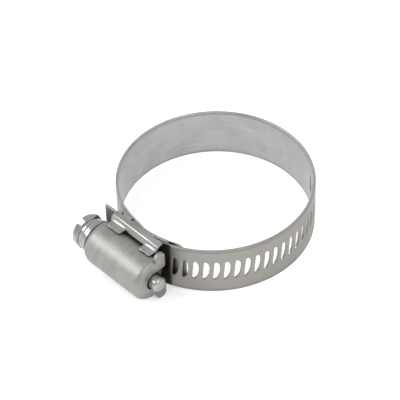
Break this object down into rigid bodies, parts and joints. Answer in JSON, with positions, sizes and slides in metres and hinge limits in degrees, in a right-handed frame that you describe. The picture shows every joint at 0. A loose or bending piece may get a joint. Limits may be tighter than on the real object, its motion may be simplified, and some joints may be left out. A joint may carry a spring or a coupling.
{
  "type": "hose clamp",
  "caption": "Worm-drive hose clamp with a slotted steel band, a folded saddle, a half-round housing and a slotted hexagon-head screw.",
  "frame": {"origin": "centre of the hose bore, at the middle of the band's width", "axes": "+Z along the hose axis, the housing on the -Y side, the screw along X with its head towards -X"},
  "size_m": [0.0463, 0.0564, 0.0138],
  "materials": {
    "band_steel": "satin rolled stainless strip",
    "housing_steel": "satin pressed stainless sheet",
    "saddle_steel": "satin pressed stainless sheet",
    "screw_steel": "turned and rolled stainless screw"
  },
  "bodies": {
    "root": {"housing": "housing_steel", "saddle": "saddle_steel", "band_fixed_end": "band_steel"},
    "screw": {"worm_screw": "screw_steel"},
    "slotted_end": {"band_slotted_end": "band_steel"},
    "right_1": {"band_right_1": "band_steel"},
    "right_2": {"band_right_2": "band_steel"},
    "right_3": {"band_right_3": "band_steel"},
    "right_4": {"band_right_4": "band_steel"},
    "left_1": {"band_left_1": "band_steel"},
    "left_2": {"band_left_2": "band_steel"},
    "left_3": {"band_left_3": "band_steel"},
    "left_4": {"band_left_4": "band_steel"},
    "left_5": {"band_left_5": "band_steel"}
  },
  "joints": [
    {"name": "screw_turn", "type": "hinge", "parent": "root", "child": "screw", "pos_m": [0, -0.0282, 0], "axis": [1, 0, 0], "range_deg": [0, 2880]},
    {"name": "band_feed", "type": "hinge", "parent": "root", "child": "slotted_end", "pos_m": [0, -0.0007, 0], "axis": [0, 0, 1], "range_deg": [-46.43, 0]},
    {"name": "bend_right_1", "type": "hinge", "parent": "slotted_end", "child": "right_1", "pos_m": [0.02198, -0.00711, 0], "axis": [0, 0, 1], "range_deg": [0, 5.56]},
    {"name": "bend_right_2", "type": "hinge", "parent": "right_1", "child": "right_2", "pos_m": [0.02233, 0.00436, 0], "axis": [0, 0, 1], "range_deg": [0, 5.31]},
    {"name": "bend_right_3", "type": "hinge", "parent": "right_2", "child": "right_3", "pos_m": [0.01708, 0.01456, 0], "axis": [0, 0, 1], "range_deg": [0, 5.02]},
    {"name": "bend_right_4", "type": "hinge", "parent": "right_3", "child": "right_4", "pos_m": [0.00753, 0.02093, 0], "axis": [0, 0, 1], "range_deg": [0, 4.78]},
    {"name": "bend_left_1", "type": "hinge", "parent": "root", "child": "left_1", "pos_m": [-0.01042, -0.0196, 0], "axis": [0, 0, 1], "range_deg": [-5.62, 0]},
    {"name": "bend_left_2", "type": "hinge", "parent": "left_1", "child": "left_2", "pos_m": [-0.01891, -0.01163, 0], "axis": [0, 0, 1], "range_deg": [-5.44, 0]},
    {"name": "bend_left_3", "type": "hinge", "parent": "left_2", "child": "left_3", "pos_m": [-0.0222, -0.00046, 0], "axis": [0, 0, 1], "range_deg": [-5.15, 0]},
    {"name": "bend_left_4", "type": "hinge", "parent": "left_3", "child": "left_4", "pos_m": [-0.01938, 0.01083, 0], "axis": [0, 0, 1], "range_deg": [-4.87, 0]},
    {"name": "bend_left_5", "type": "hinge", "parent": "left_4", "child": "left_5", "pos_m": [-0.01123, 0.01915, 0], "axis": [0, 0, 1], "range_deg": [-4.7, 0]}
  ],
  "couplings": [
    {"joint": "band_feed", "follows": "screw_turn", "ratio": -0.016121},
    {"joint": "bend_right_1", "follows": "screw_turn", "ratio": 0.00193},
    {"joint": "bend_right_2", "follows": "screw_turn", "ratio": 0.0018434},
    {"joint": "bend_right_3", "follows": "screw_turn", "ratio": 0.0017413},
    {"joint": "bend_right_4", "follows": "screw_turn", "ratio": 0.001659},
    {"joint": "bend_left_1", "follows": "screw_turn", "ratio": -0.0019516},
    {"joint": "bend_left_2", "follows": "screw_turn", "ratio": -0.0018874},
    {"joint": "bend_left_3", "follows": "screw_turn", "ratio": -0.0017878},
    {"joint": "bend_left_4", "follows": "screw_turn", "ratio": -0.0016901},
    {"joint": "bend_left_5", "follows": "screw_turn", "ratio": -0.0016305}
  ]
}
